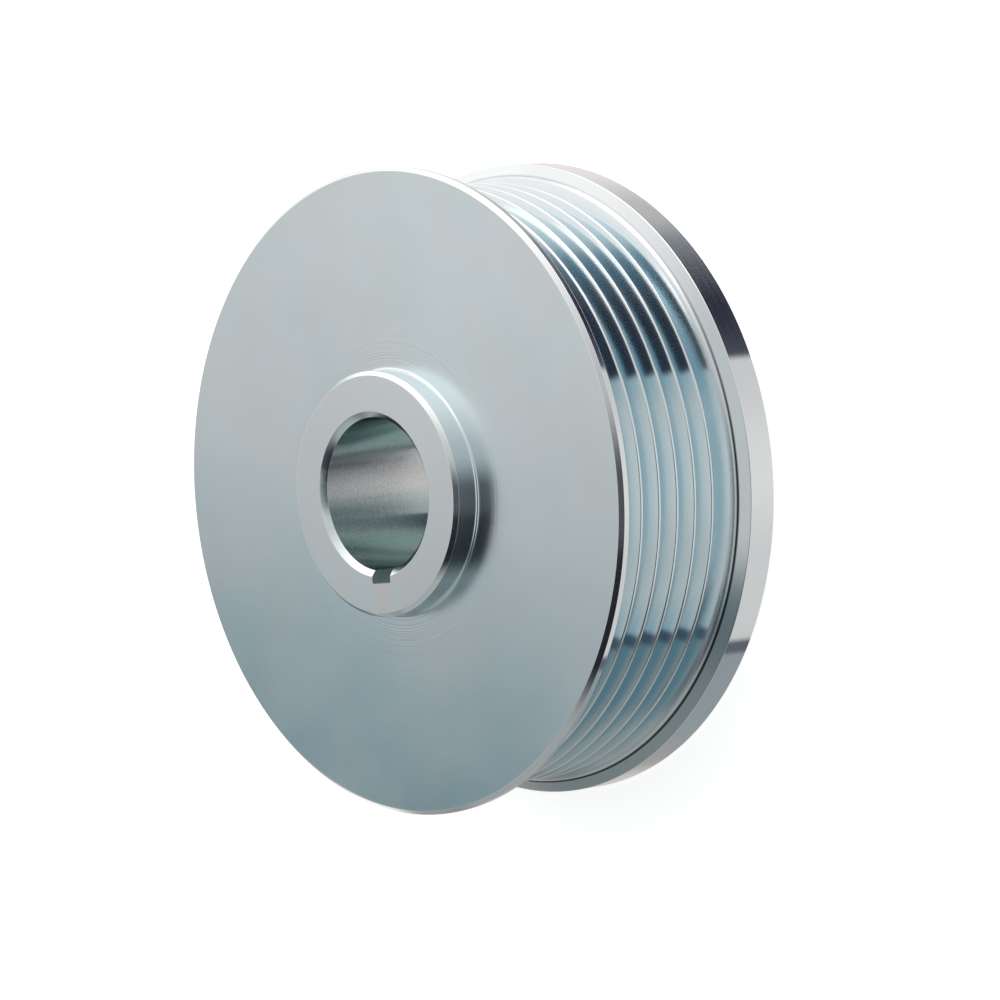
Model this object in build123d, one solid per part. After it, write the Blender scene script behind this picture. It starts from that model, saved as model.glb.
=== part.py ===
from build123d import *
import math
import os

# Ribbed belt pulley, turned from one piece of steel.
# Lengths are in millimetres and angles in degrees. The axis of the bore is Z, the rear face
# lies at Z = 0, the hub nose points up, and the keyway is on the -X side of the bore.

# Belt grooves
GROOVE_COUNT = 6
RIB_PITCH = 3.56
GROOVE_ANGLE = 40.0
CREST_RADIUS = 45.15
CREST_ROUND = 0.30
ROOT_ROUND = 0.50

# Shoulder between an outer groove and its flange, its foot measured from the outer ridge line
FOOT_HEIGHT = 0.85
FOOT_SETBACK = 0.62
SHOULDER_SLOPE = 15.0
SHOULDER_ROUND = 1.0
FOOT_ROUND = 0.15
FLANK_ANGLE = 31.0

# Flanges, their heights measured from the crests
FRONT_FLANGE_HEIGHT = 2.85
FRONT_LAND = 1.5
FRONT_CHAMFER = 0.6
REAR_FLANGE_HEIGHT = 2.6
REAR_LAND = 5.15
REAR_CHAMFER = 0.55
LAND_EDGE_ROUND = 0.2

# Hub nose
HUB_RADIUS = 18.15
HUB_RISE = 4.2
HUB_CHAMFER = 0.6
HUB_ROOT_ROUND = 0.45

# Bore and keyway
BORE_RADIUS = 11.35
MOUTH_WIDENING = 0.9
MOUTH_DEPTH = 0.75
KEYWAY_WIDTH = 4.0
KEYWAY_DEPTH = 1.8
KEYWAY_CORNER_ROUND = 0.2

# Slopes that follow from the angles: distance along the axis for each unit of radius,
# or for the shoulder the gain in radius for each unit along the axis
wall_run = math.tan(math.radians(GROOVE_ANGLE / 2))
flank_run = math.tan(math.radians(FLANK_ANGLE))
shoulder_rise = math.tan(math.radians(SHOULDER_SLOPE))

# Radii of the flanges and of the shoulders' feet
foot_radius = CREST_RADIUS + FOOT_HEIGHT
front_flange_radius = CREST_RADIUS + FRONT_FLANGE_HEIGHT
rear_flange_radius = CREST_RADIUS + REAR_FLANGE_HEIGHT

# Radii where the straight walls would meet at a crest and at a root, before rounding
apex_overshoot = CREST_ROUND * (1 / math.sin(math.radians(GROOVE_ANGLE / 2)) - 1)
apex_radius = CREST_RADIUS + apex_overshoot
valley_radius = apex_radius - RIB_PITCH / 2 / wall_run

# Places along the axis, from the rear face up to the end of the hub
rear_land_edge = REAR_LAND
rear_foot = rear_land_edge + (rear_flange_radius - foot_radius) * flank_run
rear_outer_ridge = rear_foot + FOOT_SETBACK
front_outer_ridge = rear_outer_ridge + GROOVE_COUNT * RIB_PITCH
front_foot = front_outer_ridge + FOOT_SETBACK
front_land_edge = front_foot + (front_flange_radius - foot_radius) * flank_run
front_face = front_land_edge + FRONT_LAND
hub_end = front_face + HUB_RISE


def shoulder_corner(ridge_height, outward):
    """Meeting point of a groove wall and its shoulder; outward is 1 to the front, -1 to the rear."""
    radius_gap = foot_radius - FOOT_SETBACK * shoulder_rise - apex_radius
    offset = wall_run * radius_gap / (1 - wall_run * shoulder_rise)
    return (apex_radius + offset / wall_run, ridge_height + outward * offset)


# Corners of the turned section, as radius and height
rear_corner = shoulder_corner(rear_outer_ridge, -1)
front_corner = shoulder_corner(front_outer_ridge, 1)
roots = []
crests = []
for groove in range(GROOVE_COUNT):
    roots.append((valley_radius, rear_outer_ridge + (groove + 0.5) * RIB_PITCH))
for ridge in range(1, GROOVE_COUNT):
    crests.append((apex_radius, rear_outer_ridge + ridge * RIB_PITCH))
belt_section = [roots[0]]
for crest, root in zip(crests, roots[1:]):
    belt_section += [crest, root]

rear_land_corner = (rear_flange_radius, rear_land_edge)
front_land_corner = (front_flange_radius, front_land_edge)
rear_foot_corner = (foot_radius, rear_foot)
front_foot_corner = (foot_radius, front_foot)
hub_root_corner = (HUB_RADIUS, front_face)
mouth_radius = BORE_RADIUS + MOUTH_WIDENING

rear_flange_section = [
    (mouth_radius, 0),
    (rear_flange_radius - REAR_CHAMFER, 0),
    (rear_flange_radius, REAR_CHAMFER),
    rear_land_corner,
    rear_foot_corner,
    rear_corner,
]
front_flange_section = [
    front_corner,
    front_foot_corner,
    front_land_corner,
    (front_flange_radius, front_face - FRONT_CHAMFER),
    (front_flange_radius - FRONT_CHAMFER, front_face),
]
hub_section = [
    hub_root_corner,
    (HUB_RADIUS, hub_end - HUB_CHAMFER),
    (HUB_RADIUS - HUB_CHAMFER, hub_end),
    (mouth_radius, hub_end),
    (BORE_RADIUS, hub_end - MOUTH_DEPTH),
    (BORE_RADIUS, MOUTH_DEPTH),
]

# Radius that rounds each group of corners
rounded_corners = [
    (crests, CREST_ROUND),
    (roots, ROOT_ROUND),
    ([rear_corner, front_corner], SHOULDER_ROUND),
    ([rear_foot_corner, front_foot_corner], FOOT_ROUND),
    ([rear_land_corner, front_land_corner], LAND_EDGE_ROUND),
    ([hub_root_corner], HUB_ROOT_ROUND),
]


def vertices_at(sketch, corners):
    """The sketch's vertices that lie at the given corners."""
    return [sketch.vertices().sort_by_distance((*corner, 0))[0] for corner in corners]


# The section spun round the axis, with the keyway cut along the whole bore
with BuildPart() as pulley:
    with BuildSketch(Plane.XZ) as section:
        with BuildLine():
            Polyline(*rear_flange_section, *belt_section, *front_flange_section, *hub_section, close=True)
        make_face()
        for corners, corner_round in rounded_corners:
            fillet(vertices_at(section, corners), corner_round)
    revolve(axis=Axis.Z)

    with BuildSketch(Plane.XY) as keyway:
        Rectangle(BORE_RADIUS + KEYWAY_DEPTH, KEYWAY_WIDTH, align=(Align.MAX, Align.CENTER))
        fillet(keyway.vertices().group_by(Axis.X)[0], KEYWAY_CORNER_ROUND)
    extrude(amount=hub_end, mode=Mode.SUBTRACT)

os.makedirs("parts", exist_ok=True)
pulley.part.label = "pulley"
export_step(pulley.part, "parts/pulley.step")
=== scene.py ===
"""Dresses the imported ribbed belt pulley: the turned body, its zinc plating, and the photo stage."""

import math
from typing import Callable, NamedTuple

import bpy
from mathutils import Euler, Matrix, Vector


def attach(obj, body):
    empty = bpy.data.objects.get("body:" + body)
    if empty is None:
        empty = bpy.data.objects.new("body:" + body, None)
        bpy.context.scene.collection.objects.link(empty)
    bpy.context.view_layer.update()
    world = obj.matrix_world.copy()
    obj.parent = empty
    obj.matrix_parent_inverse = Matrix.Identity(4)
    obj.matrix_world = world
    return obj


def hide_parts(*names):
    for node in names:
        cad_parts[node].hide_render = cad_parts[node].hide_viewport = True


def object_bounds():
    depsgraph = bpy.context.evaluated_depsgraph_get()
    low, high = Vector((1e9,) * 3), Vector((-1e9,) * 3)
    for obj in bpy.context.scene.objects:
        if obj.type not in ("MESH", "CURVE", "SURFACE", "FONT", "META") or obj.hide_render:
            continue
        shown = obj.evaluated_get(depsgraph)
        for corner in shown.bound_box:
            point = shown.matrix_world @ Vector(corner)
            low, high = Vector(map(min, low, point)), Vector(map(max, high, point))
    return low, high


bl_info = {
    "name": "Ribbed belt pulley",
    "version": (1, 0, 0),
    "blender": (4, 5, 0),
    "location": "3D View > Sidebar > Pulley",
    "description": "Models a turned, zinc plated pulley for a ribbed belt and the stage it is pictured on",
    "category": "Object",
}

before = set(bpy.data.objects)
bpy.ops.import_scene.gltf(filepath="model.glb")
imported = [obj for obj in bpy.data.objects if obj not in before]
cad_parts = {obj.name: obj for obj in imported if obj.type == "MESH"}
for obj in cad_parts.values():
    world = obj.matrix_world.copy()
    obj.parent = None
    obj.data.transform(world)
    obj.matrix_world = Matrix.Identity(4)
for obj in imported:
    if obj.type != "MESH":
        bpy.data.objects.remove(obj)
CAD_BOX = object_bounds()
NODE = "pulley"
# How the photograph's camera is turned from looking straight down
PHOTO_CAMERA_TURN = Euler((math.radians(-6.538), math.radians(47.327), math.radians(-97.777)))


def length(name, description, millimetres):
    """A length that shows in the sidebar in scene units."""
    return bpy.props.FloatProperty(
        name=name,
        description=description,
        default=millimetres / 1000,
        min=0.0,
        precision=5,
        unit="LENGTH",
        subtype="DISTANCE",
    )


def turn(name, description, degrees):
    """An angle that shows in the sidebar in degrees."""
    return bpy.props.FloatProperty(
        name=name,
        description=description,
        default=math.radians(degrees),
        unit="ROTATION",
        subtype="ANGLE",
    )


def count(name, description, default):
    """A whole number of like features or of steps round the body."""
    return bpy.props.IntProperty(name=name, description=description, default=default, min=1)


def tint(name, description, red, green, blue):
    """A colour that shows as a swatch in the sidebar."""
    return bpy.props.FloatVectorProperty(
        name=name,
        description=description,
        default=(red, green, blue),
        min=0.0,
        max=1.0,
        size=3,
        subtype="COLOR",
    )


class PulleySizes(bpy.types.PropertyGroup):
    """Sizes of the turned body; heights run from the rear face to the hub nose."""

    groove_count: count("Grooves", "Number of belt grooves", 6)
    rib_pitch: length("Rib pitch", "Distance from one groove to the next", 3.56)
    groove_angle: turn("Groove angle", "Angle between the two walls of a groove", 40.0)
    crest_radius: length("Crest radius", "Radius of the body at the ridges between grooves", 45.15)
    crest_round: length("Crest round", "Radius that rounds each ridge", 0.30)
    root_round: length("Root round", "Radius that rounds the bottom of each groove", 0.50)
    foot_height: length("Foot height", "Height of a shoulder's foot above the crests", 0.85)
    foot_setback: length("Foot setback", "Distance of the foot from the outer ridge line", 0.62)
    shoulder_slope: turn("Shoulder slope", "Slope of a shoulder's top", 15.0)
    shoulder_round: length("Shoulder round", "Radius that rounds a shoulder", 1.0)
    foot_round: length("Foot round", "Radius in the corner between shoulder and flank", 0.15)
    flank_angle: turn("Flank angle", "Angle of a flange's flank from the radial plane", 31.0)
    front_flange_height: length("Front flange height", "Height of the front flange above the crests", 2.85)
    front_land: length("Front land", "Width of the front flange's rim", 1.5)
    front_chamfer: length("Front chamfer", "Chamfer between the front face and the rim", 0.6)
    rear_flange_height: length("Rear flange height", "Height of the rear flange above the crests", 2.6)
    rear_land: length("Rear land", "Width of the rear flange's rim", 5.15)
    rear_chamfer: length("Rear chamfer", "Chamfer between the rear face and the rim", 0.55)
    land_edge_round: length("Land edge round", "Radius where a flank meets the rim", 0.2)
    hub_radius: length("Hub radius", "Radius of the hub nose", 18.15)
    hub_rise: length("Hub rise", "Height of the hub nose above the front face", 4.2)
    hub_chamfer: length("Hub chamfer", "Chamfer round the end of the hub nose", 0.6)
    hub_root_round: length("Hub root round", "Radius between the hub nose and the front face", 0.45)
    bore_radius: length("Bore radius", "Radius of the shaft's bore", 11.35)
    mouth_widening: length("Mouth widening", "How much wider the bore is at its mouths", 0.9)
    mouth_depth: length("Mouth depth", "Depth of the chamfer at each mouth", 0.75)
    keyway_width: length("Keyway width", "Width of the keyway", 4.0)
    keyway_depth: length("Keyway depth", "Depth of the keyway from the bore's wall", 1.8)
    keyway_corner_round: length("Keyway corner round", "Radius in the keyway's bottom corners", 0.2)
    edge_break: length("Edge break", "Radius left on the turned edges by the plating", 0.06)
    steps: count("Steps", "Number of faces round the body", 320)


class PlatingLook(bpy.types.PropertyGroup):
    """Colours of the clear blue zinc plating and of the shade painted on it, and how fine its marks are."""

    zinc: tint("Zinc", "Main colour of the plated steel", 0.73, 0.81, 0.84)
    lilac: tint("Lilac", "Colour of the faint warm patches of the plating", 0.76, 0.79, 0.83)
    sea_blue: tint("Sea blue", "Colour of the plating towards the keyway's side", 0.33, 0.52, 0.59)
    clear: tint("Clear", "Colour of the thin plating on the end of the hub nose", 0.80, 0.82, 0.83)
    neck_blue: tint("Neck blue", "Colour of the smooth plating round the hub nose", 0.80, 0.92, 0.94)
    # Partly the film's own tint, partly painted shade of light bounced between the groove walls
    groove_shade_teal: tint("Groove teal", "Colour of the plating deep in the grooves", 0.48, 0.67, 0.75)
    bore_green: tint("Bore green", "Colour of the film in the bore", 0.52, 0.67, 0.66)
    bore_bare: tint("Bore bare", "Colour of the bore where a shaft rubs it", 0.69, 0.73, 0.75)
    warm_cast: tint("Warm cast", "Cast of the plating's small warm clouds", 1.0, 0.94, 0.89)
    cool_cast: tint("Cool cast", "Cast of the plating's small cool clouds", 0.92, 0.98, 1.0)
    smudge: tint("Smudge", "Colour of the faint smudge on the hub nose below the keyway", 0.80, 0.74, 0.71)
    bright_edge: tint("Bright edge", "Colour of the edges, rubbed bright", 0.86, 0.88, 0.89)
    # Painted shade: a dark colour laid into the corners at the foot of the flanks, where the walls shade each
    # other
    painted_shade: tint("Painted shade", "Colour of the dirt in the corners at the foot of the flanks", 0.04, 0.06, 0.065)
    mark_spacing: length("Mark spacing", "Distance between the fine turning marks", 0.3)
    patch_size: length("Patch size", "Size of the plating's faint patches", 24.0)
    cloud_size: length("Cloud size", "Size of the small clouds within the patches", 13.0)
    grain_size: length("Grain size", "Size of the plating's fine grain", 0.3)
    edge_reach: length("Edge reach", "How far the bright wear reaches from an edge", 0.16)
    painted_shade_reach: length("Dirt reach", "How far the dirt reaches from a corner", 0.32)


class StageLook(bpy.types.PropertyGroup):
    """Place and turn of the camera, and size of the floor that the pulley stands on."""

    camera_place: bpy.props.FloatVectorProperty(
        name="Camera place",
        description="Where the camera stands",
        default=(0.00644, -0.48620, 0.45367),
        size=3,
        precision=5,
        unit="LENGTH",
        subtype="TRANSLATION",
    )
    camera_turn: bpy.props.FloatVectorProperty(
        name="Camera turn",
        description="How the camera is turned, rolled so that the hub nose points left",
        default=tuple(PHOTO_CAMERA_TURN),
        size=3,
        unit="ROTATION",
        subtype="EULER",
    )
    lens: bpy.props.FloatProperty(
        name="Lens",
        description="Focal length in millimetres on a sensor 36 mm wide",
        default=156.83,
        min=1.0,
    )
    floor_size: length("Floor size", "Side of the square floor", 4000.0)


# Outline of the turned body


class Corner:
    """A corner of the outline at a radius and a height, with the radius that rounds it."""

    def __init__(self, radius, height, rounding=0.0):
        self.place = Vector((radius, height))
        self.rounding = rounding


class Levels:
    """Heights along the axis, above the rear face, where the zones of the body meet."""

    def __init__(self, sizes):
        flank_run = math.tan(sizes.flank_angle)
        rear_flank = sizes.rear_flange_height - sizes.foot_height
        front_flank = sizes.front_flange_height - sizes.foot_height
        self.rear_foot = sizes.rear_land + rear_flank * flank_run
        self.rear_ridge = self.rear_foot + sizes.foot_setback
        self.front_ridge = self.rear_ridge + sizes.groove_count * sizes.rib_pitch
        self.front_foot = self.front_ridge + sizes.foot_setback
        self.front_land_edge = self.front_foot + front_flank * flank_run
        self.front_face = self.front_land_edge + sizes.front_land
        self.hub_end = self.front_face + sizes.hub_rise


def shoulder_corner(sizes, foot_radius, apex_radius, ridge_height, outward):
    """Corner between a groove wall and its shoulder; outward is 1 to the front, -1 to the rear."""
    wall_run = math.tan(sizes.groove_angle / 2)
    shoulder_rise = math.tan(sizes.shoulder_slope)
    radius_gap = foot_radius - sizes.foot_setback * shoulder_rise - apex_radius
    offset = wall_run * radius_gap / (1 - wall_run * shoulder_rise)
    return Corner(apex_radius + offset / wall_run, ridge_height + outward * offset, sizes.shoulder_round)


def outline_corners(sizes):
    """The closed outline of the body's half section, from the rear bore mouth outwards."""
    levels = Levels(sizes)
    wall_run = math.tan(sizes.groove_angle / 2)
    apex_overshoot = sizes.crest_round * (1 / math.sin(sizes.groove_angle / 2) - 1)
    apex_radius = sizes.crest_radius + apex_overshoot
    valley_radius = apex_radius - sizes.rib_pitch / 2 / wall_run
    foot_radius = sizes.crest_radius + sizes.foot_height
    front_radius = sizes.crest_radius + sizes.front_flange_height
    rear_radius = sizes.crest_radius + sizes.rear_flange_height
    mouth_radius = sizes.bore_radius + sizes.mouth_widening
    edge = sizes.edge_break

    corners = [
        Corner(mouth_radius, 0, edge),
        Corner(rear_radius - sizes.rear_chamfer, 0, edge),
        Corner(rear_radius, sizes.rear_chamfer, edge),
        Corner(rear_radius, sizes.rear_land, sizes.land_edge_round),
        Corner(foot_radius, levels.rear_foot, sizes.foot_round),
        shoulder_corner(sizes, foot_radius, apex_radius, levels.rear_ridge, -1),
        Corner(valley_radius, levels.rear_ridge + sizes.rib_pitch / 2, sizes.root_round),
    ]
    for ridge in range(1, sizes.groove_count):
        ridge_height = levels.rear_ridge + ridge * sizes.rib_pitch
        corners.append(Corner(apex_radius, ridge_height, sizes.crest_round))
        corners.append(Corner(valley_radius, ridge_height + sizes.rib_pitch / 2, sizes.root_round))
    corners += [
        shoulder_corner(sizes, foot_radius, apex_radius, levels.front_ridge, 1),
        Corner(foot_radius, levels.front_foot, sizes.foot_round),
        Corner(front_radius, levels.front_land_edge, sizes.land_edge_round),
        Corner(front_radius, levels.front_face - sizes.front_chamfer, edge),
        Corner(front_radius - sizes.front_chamfer, levels.front_face, edge),
        Corner(sizes.hub_radius, levels.front_face, sizes.hub_root_round),
        Corner(sizes.hub_radius, levels.hub_end - sizes.hub_chamfer, edge),
        Corner(sizes.hub_radius - sizes.hub_chamfer, levels.hub_end, edge),
        Corner(mouth_radius, levels.hub_end, edge),
        Corner(sizes.bore_radius, levels.hub_end - sizes.mouth_depth, edge),
        Corner(sizes.bore_radius, sizes.mouth_depth, edge),
    ]
    return corners


ARC_STEP = math.radians(9)
FEWEST_ARC_STEPS = 2


def rounded_points(corners):
    """Points of the outline with each corner turned into an arc of its own radius."""
    points = []
    for before, corner, after in zip(corners[-1:] + corners[:-1], corners, corners[1:] + corners[:1]):
        towards_before = (before.place - corner.place).normalized()
        towards_after = (after.place - corner.place).normalized()
        opening = towards_before.angle(towards_after)
        middle = (towards_before + towards_after).normalized()
        centre = corner.place + middle * (corner.rounding / math.sin(opening / 2))
        start = corner.place + towards_before * (corner.rounding / math.tan(opening / 2)) - centre
        sweep = (math.pi - opening) * math.copysign(1, towards_after.cross(towards_before))
        arc_steps = max(FEWEST_ARC_STEPS, math.ceil(abs(sweep) / ARC_STEP))
        for step in range(arc_steps + 1):
            points.append(centre + Matrix.Rotation(sweep * step / arc_steps, 2) @ start)
    return points


# Modelling


WELD_DISTANCE = 1e-6
KEYWAY_CORNER_STEPS = 4


def deselect_everything():
    """Leaves no object selected, so that an operator acts on the new piece alone."""
    bpy.ops.object.select_all(action="DESELECT")


def add_turned_body(sizes):
    """Draws the outline as a chain of edges and spins it round the axis."""
    points = rounded_points(outline_corners(sizes))
    deselect_everything()
    bpy.ops.mesh.primitive_plane_add(size=sizes.edge_break)
    body = bpy.context.object
    body.name = "pulley_body"
    bpy.ops.object.mode_set(mode="EDIT")
    bpy.ops.mesh.merge(type="CENTER")
    bpy.ops.transform.translate(value=(points[0].x, 0, points[0].y))
    for start, end in zip(points, points[1:] + points[:1]):
        step = (end.x - start.x, 0, end.y - start.y)
        bpy.ops.mesh.extrude_region_move(TRANSFORM_OT_translate={"value": step})
    bpy.ops.mesh.select_all(action="SELECT")
    bpy.ops.mesh.remove_doubles(threshold=WELD_DISTANCE)
    bpy.ops.mesh.spin(steps=sizes.steps, angle=2 * math.pi, center=(0, 0, 0), axis=(0, 0, 1))
    bpy.ops.mesh.select_all(action="SELECT")
    bpy.ops.mesh.remove_doubles(threshold=WELD_DISTANCE)
    bpy.ops.mesh.normals_make_consistent(inside=False)
    bpy.ops.object.mode_set(mode="OBJECT")
    return body


def add_keyway_cutter(sizes, reach):
    """A bar with two rounded edges, as long as the bore and standing out of both ends."""
    deselect_everything()
    bottom = sizes.bore_radius + sizes.keyway_depth
    bpy.ops.mesh.primitive_cube_add(size=1.0)
    cutter = bpy.context.object
    bpy.ops.object.mode_set(mode="EDIT")
    bpy.ops.transform.resize(value=(bottom, sizes.keyway_width, reach * 2))
    bpy.ops.transform.translate(value=(-bottom / 2, 0, reach / 2))
    bpy.ops.mesh.select_mode(type="EDGE")
    bpy.ops.mesh.select_all(action="DESELECT")
    bpy.ops.object.mode_set(mode="OBJECT")
    mesh = cutter.data
    for edge in mesh.edges:
        ends = [mesh.vertices[index].co for index in edge.vertices]
        edge.select = all(end.x < -bottom / 2 for end in ends) and ends[0].y == ends[1].y
    bpy.ops.object.mode_set(mode="EDIT")
    bpy.ops.mesh.bevel(offset=sizes.keyway_corner_round, segments=KEYWAY_CORNER_STEPS)
    bpy.ops.object.mode_set(mode="OBJECT")
    return cutter


def apply_modifier(piece, kind, **settings):
    """Adds a modifier with the given settings to a piece and applies it."""
    bpy.context.view_layer.objects.active = piece
    modifier = piece.modifiers.new(kind.title(), kind)
    for name, value in settings.items():
        setattr(modifier, name, value)
    bpy.ops.object.modifier_apply(modifier=modifier.name)


SMOOTHING_ANGLE = math.radians(30)


def smooth_with_flat_faces(piece):
    """Shades the piece smooth up to the smoothing angle, and keeps its flat faces truly flat."""
    deselect_everything()
    piece.select_set(True)
    bpy.context.view_layer.objects.active = piece
    bpy.ops.object.shade_smooth_by_angle(angle=SMOOTHING_ANGLE)
    apply_modifier(piece, "WEIGHTED_NORMAL", keep_sharp=True, weight=100)


# Materials


class NodeBench:
    """Adds nodes to a tree and links them."""

    def __init__(self, tree):
        self.tree = tree

    def add(self, kind, inputs=None, **settings):
        """A new node with the given settings; each input is a value or a socket to link from."""
        node = self.tree.nodes.new(kind)
        for name, value in settings.items():
            setattr(node, name, value)
        for key, value in (inputs or {}).items():
            self.feed(node.inputs[key], value)
        return node

    def feed(self, socket, value):
        """Links a socket to an input, or writes a value on it."""
        if isinstance(value, bpy.types.NodeSocket):
            self.tree.links.new(value, socket)
        else:
            socket.default_value = value

    def work_out(self, operation, *values):
        """The result of a Math node."""
        node = self.add("ShaderNodeMath", operation=operation)
        for socket, value in zip(node.inputs, values):
            self.feed(socket, value)
        return node.outputs[0]


def new_group(name, inputs, outputs):
    """A bench to fill a new node group at, with the group's inputs and outputs."""
    group = bpy.data.node_groups.new(name, "ShaderNodeTree")
    for direction, sockets in (("INPUT", inputs), ("OUTPUT", outputs)):
        for socket, kind in sockets.items():
            group.interface.new_socket(socket, in_out=direction, socket_type="NodeSocket" + kind)
    bench = NodeBench(group)
    return bench, bench.add("NodeGroupInput").outputs, bench.add("NodeGroupOutput").inputs


def ranged(bench, value, low, high, to_low=0.0, to_high=1.0):
    """A value brought from one range into another."""
    node = bench.add(
        "ShaderNodeMapRange",
        {"Value": value, "From Min": low, "From Max": high, "To Min": to_low, "To Max": to_high},
    )
    return node.outputs[0]


def mixed(bench, factor, first, second, blend="MIX"):
    """A colour mixed from two by a factor."""
    # A Mix node's colour sockets share their names with its other sockets, so they go by number
    mix = bench.add("ShaderNodeMix", data_type="RGBA", blend_type=blend)
    bench.feed(mix.inputs[0], factor)
    for socket, colour in ((mix.inputs[6], first), (mix.inputs[7], second)):
        bench.feed(socket, colour if isinstance(colour, bpy.types.NodeSocket) else (*colour, 1))
    return mix.outputs[2]


def object_place(bench):
    """The place of a point of the surface on the Object coordinates."""
    return bench.add("ShaderNodeTexCoord").outputs["Object"]


def radius_and_height(bench):
    """Radius and height of a place on the turned profile."""
    across, along, height = bench.add("ShaderNodeSeparateXYZ", {0: object_place(bench)}).outputs
    flat = bench.add("ShaderNodeCombineXYZ", {0: across, 1: along}).outputs[0]
    radius = bench.add("ShaderNodeVectorMath", {0: flat}, operation="LENGTH").outputs["Value"]
    return radius, height


def on_profile(bench):
    """Radius and height of a place on the turned profile, as one vector."""
    radius, height = radius_and_height(bench)
    return bench.add("ShaderNodeCombineXYZ", {0: radius, 2: height}).outputs[0]


NOISE_LOW = 0.3
NOISE_HIGH = 0.7


def spread_noise(bench, vector, **inputs):
    """Noise at a scaled place, with its middle values spread over the whole range from 0 to 1."""
    noise = bench.add("ShaderNodeTexNoise", {"Vector": vector, "Scale": 1.0, **inputs}).outputs[0]
    return ranged(bench, noise, NOISE_LOW, NOISE_HIGH)


def turned_place_group():
    """Radius and height of a place on the turned profile."""
    bench, _, result = new_group("turned_place", {}, {"Radius": "Float", "Height": "Float"})
    for name, value in zip(("Radius", "Height"), radius_and_height(bench)):
        bench.feed(result[name], value)
    return bench.tree


# Where the deeper rings beside the hub nose begin, fade and end, as shares of the hub's radius
DEEP_RINGS_BEGIN = 1.02
DEEP_RINGS_FADE = 1.15
DEEP_RINGS_END = 1.4
DEEP_RING_HEIGHT = 12.0


def turning_marks_group(hub_radius):
    """Fine rings left by the turning tool, slightly wavering, and cut deeper beside the hub nose."""
    bench, given, result = new_group(
        "turning_marks", {"Spacing": "Float", "Waver": "Float"}, {"Rings": "Float", "Ring Height": "Float"}
    )
    turns = bench.add("ShaderNodeVectorMath", {0: on_profile(bench), 1: given["Spacing"]}, operation="DIVIDE")
    waver = bench.add("ShaderNodeVectorMath", {0: object_place(bench), 3: given["Waver"]}, operation="SCALE")
    wavering = bench.add("ShaderNodeVectorMath", {0: turns.outputs[0], 1: waver.outputs[0]}, operation="ADD")
    rings = spread_noise(bench, wavering.outputs[0], Detail=3.0, Roughness=0.65)
    bench.feed(result["Rings"], rings)
    radius = radius_and_height(bench)[0]
    off_hub = ranged(bench, radius, hub_radius, hub_radius * DEEP_RINGS_BEGIN)
    near_hub = ranged(bench, radius, hub_radius * DEEP_RINGS_END, hub_radius * DEEP_RINGS_FADE)
    beside_hub = bench.work_out("MULTIPLY", off_hub, near_hub)
    deeper = ranged(bench, beside_hub, 0.0, 1.0, to_low=1.0, to_high=DEEP_RING_HEIGHT)
    bench.feed(result["Ring Height"], bench.work_out("MULTIPLY", rings, deeper))
    return bench.tree


def fine_grain_group():
    """Even fine grain of a given size."""
    bench, given, result = new_group("fine_grain", {"Size": "Float"}, {"Grain": "Float"})
    scaled = bench.add("ShaderNodeVectorMath", {0: object_place(bench), 1: given["Size"]}, operation="DIVIDE")
    bench.feed(result["Grain"], spread_noise(bench, scaled.outputs[0], Detail=2.0))
    return bench.tree


PATCHES_PLACE = (0.0, 0.0, 0.0)
HUES_PLACE = (3.7, 1.3, 5.1)


def patches_group():
    """Soft patches of a given size, where the plating is thicker or thinner, twice over."""
    outputs = {"Patches": "Float", "Hues": "Float"}
    bench, given, result = new_group("plating_patches", {"Size": "Float"}, outputs)
    scaled = bench.add("ShaderNodeVectorMath", {0: object_place(bench), 1: given["Size"]}, operation="DIVIDE")
    for name, shift in (("Patches", PATCHES_PLACE), ("Hues", HUES_PLACE)):
        moved = bench.add("ShaderNodeVectorMath", {0: scaled.outputs[0], 1: shift}, operation="ADD")
        bench.feed(result[name], spread_noise(bench, moved.outputs[0], Detail=2.0, Roughness=0.5))
    return bench.tree


FURTHER_THAN_ANY = 1.0


def near_corners(bench, corners, reach):
    """Mask that is full at the given corners of the profile and fades out with the distance."""
    profile = on_profile(bench)
    nearest = FURTHER_THAN_ANY
    for corner in corners:
        place = (corner.place.x, 0, corner.place.y)
        distance = bench.add("ShaderNodeVectorMath", {0: profile, 1: place}, operation="DISTANCE")
        nearest = bench.work_out("MINIMUM", distance.outputs["Value"], nearest)
    return ranged(bench, nearest, reach, 0.0)


def edge_wear_group(edges):
    """Mask of the edges that are rubbed bright."""
    bench, given, result = new_group("edge_wear", {"Reach": "Float"}, {"Mask": "Float"})
    bench.feed(result["Mask"], near_corners(bench, edges, given["Reach"]))
    return bench.tree


def painted_corner_shade_group(feet, crest_radius):
    """Mask of the shade painted into the corners at the foot of the flanks, heavier towards the keyway's
    side.
    """
    bench, given, result = new_group("painted_corner_shade", {"Reach": "Float"}, {"Mask": "Float"})
    across = bench.add("ShaderNodeSeparateXYZ", {0: object_place(bench)}).outputs[0]
    # The painted shade is made heavier towards the keyway's side
    keyway_side_share = ranged(bench, across, crest_radius * 0.7, crest_radius * -0.1, to_low=0.3, to_high=1.6)
    painted_shade = near_corners(bench, feet, given["Reach"])
    bench.feed(result["Mask"], bench.work_out("MULTIPLY", painted_shade, keyway_side_share))
    return bench.tree


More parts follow.
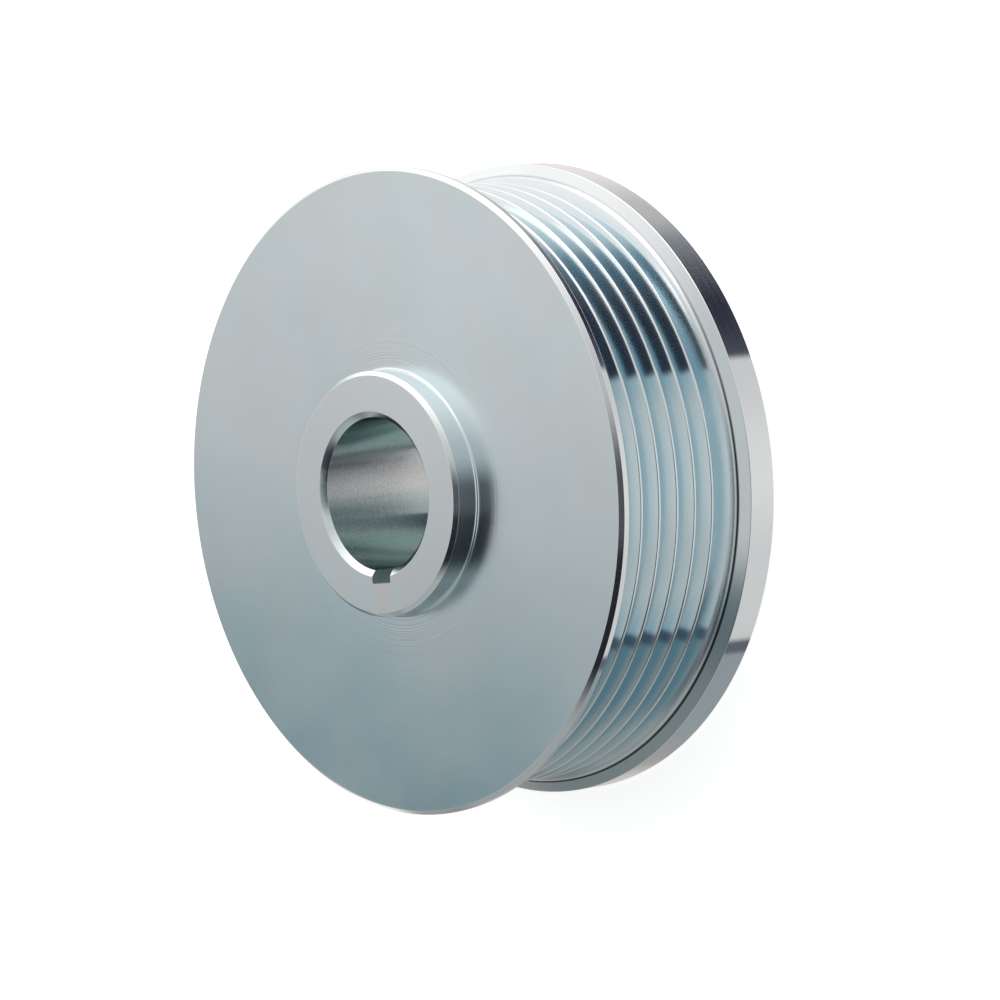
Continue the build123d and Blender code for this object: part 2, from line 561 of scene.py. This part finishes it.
class Plating:
    """What the tone of a zone is worked out from: its place, the plating's patches, colours, sizes."""

    def __init__(self, bench, groups, look, sizes):
        self.bench = bench
        self.look = look
        self.sizes = sizes
        self.levels = Levels(sizes)
        turned = bench.add("ShaderNodeGroup", node_tree=groups["place"]).outputs
        self.radius, self.height = turned["Radius"], turned["Height"]
        self.place = object_place(bench)
        # Across is below zero on the keyway's side, along is below zero on the photographed side
        self.across, self.along = bench.add("ShaderNodeSeparateXYZ", {0: self.place}).outputs[:2]
        patches = bench.add("ShaderNodeGroup", {"Size": look.patch_size}, node_tree=groups["patches"]).outputs
        self.patches, self.hues = patches["Patches"], patches["Hues"]
        clouds = bench.add("ShaderNodeGroup", {"Size": look.cloud_size}, node_tree=groups["patches"]).outputs
        self.clouds, self.cloud_hues = clouds["Patches"], clouds["Hues"]


def turned_tone(plating):
    """Plain plating, and a smoother blue one round the hub nose."""
    bench, look, sizes = plating.bench, plating.look, plating.sizes
    front_face = plating.levels.front_face
    lilac = ranged(bench, plating.patches, 0.0, 1.0, to_high=0.3)
    colour = mixed(bench, lilac, look.zinc, look.lilac)
    on_neck = ranged(bench, plating.radius, sizes.crest_radius / 2, sizes.hub_radius * 1.1)
    above_face = ranged(bench, plating.height, front_face, front_face + sizes.hub_root_round)
    return mixed(bench, bench.work_out("MULTIPLY", on_neck, above_face), colour, look.neck_blue)


TOWARD_KEYWAY = (-1.0, 0.3, 0.0)


def faced_tone(plating):
    """Plating that turns sea blue towards the keyway's side, with small clouds; clear on the hub nose."""
    bench, look, sizes = plating.bench, plating.look, plating.sizes
    reach = bench.add("ShaderNodeVectorMath", {0: plating.place, 1: TOWARD_KEYWAY}, operation="DOT_PRODUCT")
    lower = ranged(bench, reach.outputs["Value"], 0.0, sizes.crest_radius)
    uneven = ranged(bench, plating.hues, 0.0, 1.0, to_low=1.0, to_high=0.8)
    colour = mixed(bench, bench.work_out("MULTIPLY", lower, uneven), look.zinc, look.sea_blue)
    lilac = ranged(bench, plating.patches, 0.3, 1.0, to_high=0.35)
    colour = mixed(bench, lilac, colour, look.lilac)
    warm = ranged(bench, plating.clouds, 0.4, 1.0, to_high=0.45)
    colour = mixed(bench, warm, colour, look.warm_cast, "MULTIPLY")
    cool = ranged(bench, plating.cloud_hues, 0.4, 1.0, to_high=0.5)
    colour = mixed(bench, cool, colour, look.cool_cast, "MULTIPLY")
    on_hub = ranged(bench, plating.height, plating.levels.front_face, plating.levels.hub_end, to_high=0.5)
    colour = mixed(bench, on_hub, colour, look.clear)
    below_keyway = (-(sizes.bore_radius + sizes.hub_radius) / 2, 0, plating.levels.hub_end)
    away = bench.add("ShaderNodeVectorMath", {0: plating.place, 1: below_keyway}, operation="DISTANCE")
    keyway = sizes.keyway_width
    smudged = ranged(bench, away.outputs["Value"], keyway * 0.7, keyway * 0.2, to_high=0.6)
    return mixed(bench, smudged, colour, look.smudge)


def groove_tone(plating):
    """Plating that turns teal below the ridges, and is rubbed bright along their tops. The teal is partly the
    film's own tint and partly painted shade of light bounced between the groove walls: it grows with depth,
    is strongest on the keyway's side, weaker on the opposite side, and faint between them and behind.
    """
    bench, look, sizes = plating.bench, plating.look, plating.sizes
    crest = sizes.crest_radius
    depth = ranged(bench, plating.radius, crest, crest - sizes.rib_pitch * 0.3)
    high = ranged(bench, plating.across, crest * 0.9, crest * 0.7, to_low=0.25)
    above = ranged(bench, plating.across, crest * 0.2, crest * 0.3, to_low=0.2, to_high=0.75)
    below = ranged(bench, plating.across, crest * -0.4, crest * -0.55, to_low=0.2)
    behind = ranged(bench, plating.along, crest * -0.4, crest * 0.1, to_low=1.0, to_high=0.25)
    # Mask of the teal as painted bounce shade, by side, by height and by depth
    around = bench.work_out("MAXIMUM", above, below)
    for share in (high, behind, depth):
        around = bench.work_out("MULTIPLY", around, share)
    colour = mixed(bench, around, look.zinc, look.groove_shade_teal)
    rubbed = ranged(bench, plating.radius, crest - look.edge_reach, crest, to_high=0.15)
    return mixed(bench, rubbed, colour, look.bright_edge)


def bore_tone(plating):
    """A green film, rubbed away in a broad stripe along one side of the bore and all over the other."""
    bench, look, bore = plating.bench, plating.look, plating.sizes.bore_radius
    below = ranged(bench, plating.across, bore * -0.15, bore * 0.05)
    above = ranged(bench, plating.across, bore * 0.75, bore * 0.5)
    opposite = ranged(bench, plating.along, bore * 0.2, bore * -0.2)
    rubbed = bench.work_out("MAXIMUM", bench.work_out("MULTIPLY", below, above), opposite)
    return mixed(bench, rubbed, look.bore_green, look.bore_bare)


class Finish(NamedTuple):
    """How one zone of the pulley is turned and plated."""

    name: str
    tone: Callable
    roughness: float
    unevenness: float
    marks: float
    speckle: float
    relief: float
    anisotropy: float


# Roughness and how far marks and grain change it; share of the marks and of the grain in the
# colour; strength of the bump; anisotropy
FINISHES = (
    Finish("turned_zinc", turned_tone, 0.1, 0.03, 0.03, 0.01, 0.04, 1.0),
    Finish("shoulder_zinc", turned_tone, 0.24, 0.04, 0.03, 0.02, 0.1, 1.0),
    Finish("neck_zinc", turned_tone, 0.07, 0.02, 0.04, 0.02, 0.05, 0.8),
    Finish("faced_zinc", faced_tone, 0.2, 0.04, 0.02, 0.02, 0.05, 0.6),
    Finish("groove_zinc", groove_tone, 0.09, 0.01, 0.02, 0.0, 0.02, 1.0),
    Finish("bore_zinc", bore_tone, 0.18, 0.06, 0.05, 0.2, 0.08, 0.9),
    Finish("keyway_zinc", bore_tone, 0.45, 0.06, 0.0, 0.1, 0.04, 0.0),
)
TURNED, SHOULDER, NECK, FACED, GROOVED, BORED, KEYWAY = range(len(FINISHES))

# Wander of the rings; share of the bright colour on a worn edge, and how much smoother it is;
# height of the grain beside the rings; depth of the rings beside their spacing; a quarter turn
WAVER = 9.0
WEAR_STRENGTH = 0.8
WORN_SMOOTHER = 0.7
GRAIN_HEIGHT = 0.08
MARK_DEPTH = 0.1
ROUND_THE_AXIS = 0.25


def zinc_plating(finish, groups, look, sizes):
    """Clear blue zinc on turned steel, with turning marks, patches, grain, bright edges, and shade painted
    into the corners at the foot of the flanks.
    """
    material = bpy.data.materials.new(finish.name)
    material.use_nodes = True
    bench = NodeBench(material.node_tree)
    shader = material.node_tree.nodes["Principled BSDF"]
    plating = Plating(bench, groups, look, sizes)
    marks_sizes = {"Spacing": look.mark_spacing, "Waver": WAVER}
    marks = bench.add("ShaderNodeGroup", marks_sizes, node_tree=groups["marks"]).outputs
    wear = bench.add("ShaderNodeGroup", {"Reach": look.edge_reach}, node_tree=groups["wear"]).outputs[0]
    # Mask of the painted shade in the corners at the foot of the flanks
    painted_shade = bench.add("ShaderNodeGroup", {"Reach": look.painted_shade_reach}, node_tree=groups["painted_shade"]).outputs[0]
    grain = bench.add("ShaderNodeGroup", {"Size": look.grain_size}, node_tree=groups["grain"]).outputs[0]

    ringed = ranged(bench, marks["Rings"], 0.0, 1.0, to_low=1 - finish.marks)
    speckled = ranged(bench, grain, 0.0, 1.0, to_low=1 - finish.speckle)
    shade = bench.work_out("MULTIPLY", ringed, speckled)
    grey = bench.add("ShaderNodeCombineColor", {0: shade, 1: shade, 2: shade}).outputs[0]
    colour = mixed(bench, 1.0, finish.tone(plating), grey, "MULTIPLY")
    colour = mixed(bench, bench.work_out("MULTIPLY", wear, WEAR_STRENGTH), colour, look.bright_edge)
    # The painted shade darkens the colour in the corners at the foot of the flanks
    bench.feed(shader.inputs["Base Color"], mixed(bench, painted_shade, colour, look.painted_shade))

    uneven = bench.work_out("SUBTRACT", bench.work_out("ADD", marks["Rings"], grain), 1.0)
    rough = bench.work_out("MULTIPLY_ADD", uneven, finish.unevenness, finish.roughness)
    smoother = ranged(bench, wear, 0.0, 1.0, to_low=1.0, to_high=WORN_SMOOTHER)
    bench.feed(shader.inputs["Roughness"], bench.work_out("MULTIPLY", rough, smoother))

    height = bench.work_out("MULTIPLY_ADD", grain, GRAIN_HEIGHT, marks["Ring Height"])
    depth = look.mark_spacing * MARK_DEPTH
    bump = bench.add("ShaderNodeBump", {"Strength": finish.relief, "Distance": depth, "Height": height})
    bench.feed(shader.inputs["Normal"], bump.outputs[0])
    shader.inputs["Metallic"].default_value = 1.0
    shader.inputs["Anisotropic"].default_value = finish.anisotropy
    shader.inputs["Anisotropic Rotation"].default_value = ROUND_THE_AXIS
    return material


# Upward part of a face's normal: less on a wall that runs along the axis, more on a faced flat
WALL_AT_MOST = 0.2
FLAT_AT_LEAST = 0.999


def finish_of(face, sizes, levels):
    """Which finish a face of the body has, by its place and the way that it points."""
    centre = face.center
    radius = math.hypot(centre.x, centre.y)
    slack = sizes.edge_break
    beside_keyway = centre.x < 0 and abs(centre.y) < sizes.keyway_width / 2 + slack
    in_keyway = beside_keyway and radius < sizes.bore_radius + sizes.keyway_depth + slack
    upward = abs(face.normal.z)
    if upward < WALL_AT_MOST and radius < sizes.bore_radius + slack:
        return BORED
    if upward < WALL_AT_MOST and in_keyway:
        return KEYWAY
    if upward > FLAT_AT_LEAST:
        return FACED
    if centre.z > levels.front_face and radius > sizes.hub_radius - slack:
        return NECK
    if levels.rear_ridge < centre.z < levels.front_ridge and radius < sizes.crest_radius + slack:
        return GROOVED
    on_shoulder = levels.rear_ridge - sizes.foot_setback < centre.z < levels.front_ridge + sizes.foot_setback
    if on_shoulder and radius > sizes.crest_radius - sizes.rib_pitch / 2:
        return SHOULDER
    return TURNED


def plate(body, sizes, look):
    """Gives each zone of the body its own finish."""
    corners = outline_corners(sizes)
    edges = [corner for corner in corners if corner.rounding in (sizes.edge_break, sizes.land_edge_round)]
    feet = [corner for corner in corners if corner.rounding == sizes.foot_round]
    groups = {
        "place": turned_place_group(),
        "marks": turning_marks_group(sizes.hub_radius),
        "grain": fine_grain_group(),
        "patches": patches_group(),
        "wear": edge_wear_group(edges),
        "painted_shade": painted_corner_shade_group(feet, sizes.crest_radius),
    }
    body.data.materials.clear()
    for finish in FINISHES:
        body.data.materials.append(zinc_plating(finish, groups, look, sizes))
    levels = Levels(sizes)
    for face in body.data.polygons:
        face.material_index = finish_of(face, sizes, levels)


class PULLEY_OT_add_body(bpy.types.Operator):
    """Model the turned body with its grooves, hub, bore and keyway, and plate it"""

    bl_idname = "pulley.add_body"
    bl_label = "Turned body"
    bl_options = {"REGISTER", "UNDO"}

    def execute(self, context):
        sizes = context.scene.pulley_sizes
        body = add_turned_body(sizes)
        cutter = add_keyway_cutter(sizes, CAD_BOX[1][2])
        apply_modifier(body, "BOOLEAN", operation="DIFFERENCE", solver="EXACT", object=cutter)
        bpy.data.objects.remove(cutter)
        smooth_with_flat_faces(body)
        plate(body, sizes, context.scene.plating_look)
        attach(body, "root")
        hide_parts(NODE)
        return {"FINISHED"}


# Stage


CAMERA_RIGHT, CAMERA_UP, CAMERA_BACK = (Vector(axis) for axis in PHOTO_CAMERA_TURN.to_matrix().col)
SENSOR_WIDTH = 36
NEAREST_SEEN = 0.01
FLOOR_COLOUR = (0.9, 0.9, 0.9, 1)
FLOOR_GLOW = 0.7
WHITE = (1, 1, 1, 1)


def add_camera(look):
    """The photograph's camera, rolled so that the hub nose points left."""
    camera = bpy.data.objects.new("photo_camera", bpy.data.cameras.new("photo_camera"))
    bpy.context.collection.objects.link(camera)
    camera.data.sensor_width = SENSOR_WIDTH
    camera.data.lens = look.lens
    camera.data.clip_start = NEAREST_SEEN
    camera.matrix_world = Matrix.LocRotScale(look.camera_place, Euler(look.camera_turn), None)
    bpy.context.scene.camera = camera


def add_floor(look):
    """A plain white floor that keeps a faint shadow."""
    deselect_everything()
    bpy.ops.mesh.primitive_plane_add(size=look.floor_size)
    floor = bpy.context.object
    floor.name = "floor"
    material = bpy.data.materials.new("floor_white")
    material.use_nodes = True
    bench = NodeBench(material.node_tree)
    shader = material.node_tree.nodes["Principled BSDF"]
    shader.inputs["Base Color"].default_value = FLOOR_COLOUR
    shader.inputs["Roughness"].default_value = 1.0
    shader.inputs["Specular IOR Level"].default_value = 0.0
    shader.inputs["Emission Color"].default_value = WHITE
    seen = bench.add("ShaderNodeLightPath").outputs["Is Camera Ray"]
    bench.feed(shader.inputs["Emission Strength"], bench.work_out("MULTIPLY", seen, FLOOR_GLOW))
    floor.data.materials.append(material)
    floor.visible_glossy = False


def studio_direction(around, above):
    """Direction in the part's frame, by angles round and above the camera as seen from the part."""
    around, above = math.radians(around), math.radians(above)
    return (
        CAMERA_RIGHT * (math.sin(around) * math.cos(above))
        + CAMERA_UP * math.sin(above)
        + CAMERA_BACK * (math.cos(around) * math.cos(above))
    )


class Panel:
    """A soft-edged panel of the studio: where it hangs, how it leans, its reach, softness and colour."""

    def __init__(self, around, above, lean, half_width, half_height, soft_across, soft_up, colour):
        self.centre = studio_direction(around, above)
        leaning = Matrix.Rotation(math.radians(lean), 3, self.centre)
        across = leaning @ CAMERA_UP.cross(self.centre).normalized()
        upward = self.centre.cross(across)
        self.turned = Matrix((across, upward, self.centre)).transposed().to_euler()
        self.reach = [2 * math.sin(math.radians(half) / 2) for half in (half_width, half_height)] + [1.0]
        self.softness = Vector((soft_across, soft_up, HORIZON_SOFTNESS))
        self.colour = colour


HORIZON_SOFTNESS = 0.05
STUDIO_BRIGHTNESS = 2.4
# Degrees above the horizon, and the colour there
STUDIO_LEVELS = (
    (-90, (0.43, 0.43, 0.42)),
    (-58, (0.43, 0.43, 0.42)),
    (-48, (0.13, 0.15, 0.16)),
    (-25, (0.17, 0.25, 0.28)),
    (-12, (0.33, 0.38, 0.39)),
    (0, (0.98, 0.97, 0.96)),
    (20, (1.22, 1.18, 1.14)),
    (45, (1.36, 1.26, 1.22)),
    (57, (1.45, 1.33, 1.28)),
    (66, (2.1, 1.95, 1.85)),
    (90, (2.4, 2.2, 2.1)),
)
# Degrees round and above the camera, lean, half width and half height, softness across and up, colour
STUDIO_PANELS = {
    "back_light": Panel(168, 20, 0, 27, 34, 0.5, 0.4, (0.97, 0.88, 0.85)),
    "upper_left_shade": Panel(-116, 8, 0, 14, 11, 0.7, 0.7, (0.72, 0.68, 0.68)),
    "back_corner": Panel(143, 52, 0, 22, 12, 0.6, 0.6, (0.6, 0.54, 0.53)),
    "warm_back": Panel(-178, -15, 0, 24, 12, 0.5, 0.6, (0.69, 0.63, 0.6)),
    "low_back_wall": Panel(176, -43, 0, 52, 17, 0.3, 0.5, (0.42, 0.385, 0.37)),
    "upper_gap": Panel(124, 56, 0, 11, 6, 0.6, 0.6, (0.12, 0.18, 0.23)),
    "gap_behind": Panel(98, 37, 0, 23, 18, 0.67, 0.25, (0.02, 0.022, 0.042)),
    "right_wall": Panel(80, -4, -16, 42, 35.2, 0.3, 0.025, (0.79, 0.735, 0.71)),
    "wall_glow": Panel(88, 4, 0, 46, 14, 0.4, 0.7, (0.93, 0.87, 0.83)),
    "wall_foot": Panel(124, -47, 35.5, 26, 12, 0.3, 0.05, (0.35, 0.37, 0.38)),
    "dark_strip": Panel(115, -37, 35.5, 20, 1.8, 0.4, 0.5, (0.14, 0.14, 0.17)),
    "front_shade": Panel(-5, 15, 0, 48, 28, 0.6, 0.8, (0.62, 0.6, 0.6)),
    "dim_front": Panel(-3, -6, 0, 20, 15, 0.5, 0.8, (0.09, 0.09, 0.1)),
    "camera_side": Panel(-2, -38, 0, 24, 22, 0.4, 0.4, (0.018, 0.018, 0.022)),
    "left_front_light": Panel(-36, -4, 0, 13, 20, 0.3, 0.35, (0.66, 0.66, 0.64)),
    "dark_stand": Panel(-63, -18, 0, 10, 14, 0.5, 0.5, (0.05, 0.05, 0.05)),
    "low_left_wall": Panel(-82, -47, 0, 27, 10, 0.25, 0.25, (0.21, 0.24, 0.24)),
    "left_back_shade": Panel(-115, -26, 0, 11, 18, 0.6, 0.6, (0.23, 0.25, 0.25)),
    "low_left_glow": Panel(-157, -28, 0, 8, 9, 0.5, 0.6, (1.2, 1.09, 1.05)),
    "left_glow": Panel(-85, -35, 0, 9, 9, 0.5, 0.5, (0.34, 0.36, 0.35)),
    "right_front_light": Panel(38, -5, 0, 15, 36, 0.5, 0.5, (0.8, 0.88, 0.9)),
}


def dimmed(colour):
    """A studio colour as a share of the studio's brightness."""
    return (*(part / STUDIO_BRIGHTNESS for part in colour), 1)


def studio_panel_group():
    """Node group that lays one soft panel over what is behind it, by the direction of a ray."""
    vectors = ("Direction", "Centre", "Turned", "Reach", "Outer Edge", "Inner Edge")
    inputs = {**dict.fromkeys(vectors, "Vector"), "Panel Colour": "Color", "Behind": "Color"}
    bench, given, result = new_group("studio_panel", inputs, {"Colour": "Color"})
    place = bench.add(
        "ShaderNodeMapping",
        {
            "Vector": given["Direction"],
            "Location": given["Centre"],
            "Rotation": given["Turned"],
            "Scale": given["Reach"],
        },
        vector_type="TEXTURE",
    )
    distance = bench.add("ShaderNodeVectorMath", {0: place.outputs[0]}, operation="ABSOLUTE")
    cover = bench.add(
        "ShaderNodeMapRange",
        {6: distance.outputs[0], 7: given["Outer Edge"], 8: given["Inner Edge"]},
        data_type="FLOAT_VECTOR",
        interpolation_type="SMOOTHSTEP",
    )
    across, upward, ahead = bench.add("ShaderNodeSeparateXYZ", {0: cover.outputs[1]}).outputs
    covered = bench.work_out("MULTIPLY", bench.work_out("MULTIPLY", across, upward), ahead)
    bench.feed(result["Colour"], mixed(bench, covered, given["Behind"], given["Panel Colour"]))
    return bench.tree


def light_world():
    """A soft studio all round, graded from low to high, with its panels; the camera sees white."""
    world = bpy.data.worlds.new("studio")
    bpy.context.scene.world = world
    world.use_nodes = True
    bench = NodeBench(world.node_tree)
    direction = bench.add("ShaderNodeTexCoord").outputs["Generated"]
    height = bench.add(
        "ShaderNodeVectorMath", {0: direction, 1: CAMERA_UP}, operation="DOT_PRODUCT"
    ).outputs["Value"]
    level = bench.work_out("ADD", bench.work_out("DIVIDE", bench.work_out("ARCSINE", height), math.pi), 0.5)
    ramp = bench.add("ShaderNodeValToRGB", {"Fac": level})
    stops = ramp.color_ramp.elements
    while len(stops) < len(STUDIO_LEVELS):
        stops.new(1.0)
    for stop, (above, colour) in zip(stops, STUDIO_LEVELS):
        stop.position = above / 180 + 0.5
        stop.color = dimmed(colour)
    colour = ramp.outputs["Color"]
    group = studio_panel_group()
    flush = Vector((1, 1, 1))
    for panel in STUDIO_PANELS.values():
        node = bench.add("ShaderNodeGroup", node_tree=group)
        for socket, value in (
            ("Direction", direction),
            ("Centre", panel.centre),
            ("Turned", panel.turned),
            ("Reach", panel.reach),
            ("Outer Edge", flush + panel.softness),
            ("Inner Edge", flush - panel.softness),
            ("Panel Colour", dimmed(panel.colour)),
            ("Behind", colour),
        ):
            bench.feed(node.inputs[socket], value)
        colour = node.outputs["Colour"]
    light_path = bench.add("ShaderNodeLightPath")
    studio = world.node_tree.nodes["Background"]
    bench.feed(studio.inputs["Color"], colour)
    studio.inputs["Strength"].default_value = STUDIO_BRIGHTNESS
    white = bench.add("ShaderNodeBackground", {"Color": WHITE, "Strength": 1.0})
    shown = bench.add("ShaderNodeMixShader", {0: light_path.outputs["Is Camera Ray"]})
    bench.feed(shown.inputs[1], studio.outputs[0])
    bench.feed(shown.inputs[2], white.outputs[0])
    bench.feed(world.node_tree.nodes["World Output"].inputs["Surface"], shown.outputs[0])


class PULLEY_OT_add_stage(bpy.types.Operator):
    """Add the white floor, the soft studio light and the photograph's camera"""

    bl_idname = "pulley.add_stage"
    bl_label = "Photo stage"
    bl_options = {"REGISTER", "UNDO"}

    def execute(self, context):
        look = context.scene.stage_look
        add_camera(look)
        add_floor(look)
        light_world()
        context.scene.view_settings.view_transform = "Standard"
        return {"FINISHED"}


class PULLEY_PT_sidebar(bpy.types.Panel):
    """Lists what makes up the pictured pulley"""

    bl_label = "Ribbed belt pulley"
    bl_space_type = "VIEW_3D"
    bl_region_type = "UI"
    bl_category = "Pulley"

    def draw(self, context):
        for group in (context.scene.pulley_sizes, context.scene.plating_look, context.scene.stage_look):
            box = self.layout.box()
            for name in group.bl_rna.properties.keys():
                if name not in ("rna_type", "name"):
                    box.prop(group, name)
        for operator in OPERATORS:
            self.layout.operator(operator.bl_idname)


GROUPS = {"pulley_sizes": PulleySizes, "plating_look": PlatingLook, "stage_look": StageLook}
OPERATORS = (PULLEY_OT_add_body, PULLEY_OT_add_stage)


def register():
    for piece_class in (*GROUPS.values(), *OPERATORS, PULLEY_PT_sidebar):
        bpy.utils.register_class(piece_class)
    for name, group in GROUPS.items():
        setattr(bpy.types.Scene, name, bpy.props.PointerProperty(type=group))


def unregister():
    for name in GROUPS:
        delattr(bpy.types.Scene, name)
    for piece_class in (PULLEY_PT_sidebar, *reversed(OPERATORS), *reversed(GROUPS.values())):
        bpy.utils.unregister_class(piece_class)


def main():
    register()
    bpy.ops.pulley.add_body()
    bpy.ops.pulley.add_stage()


if __name__ == "__main__":
    main()
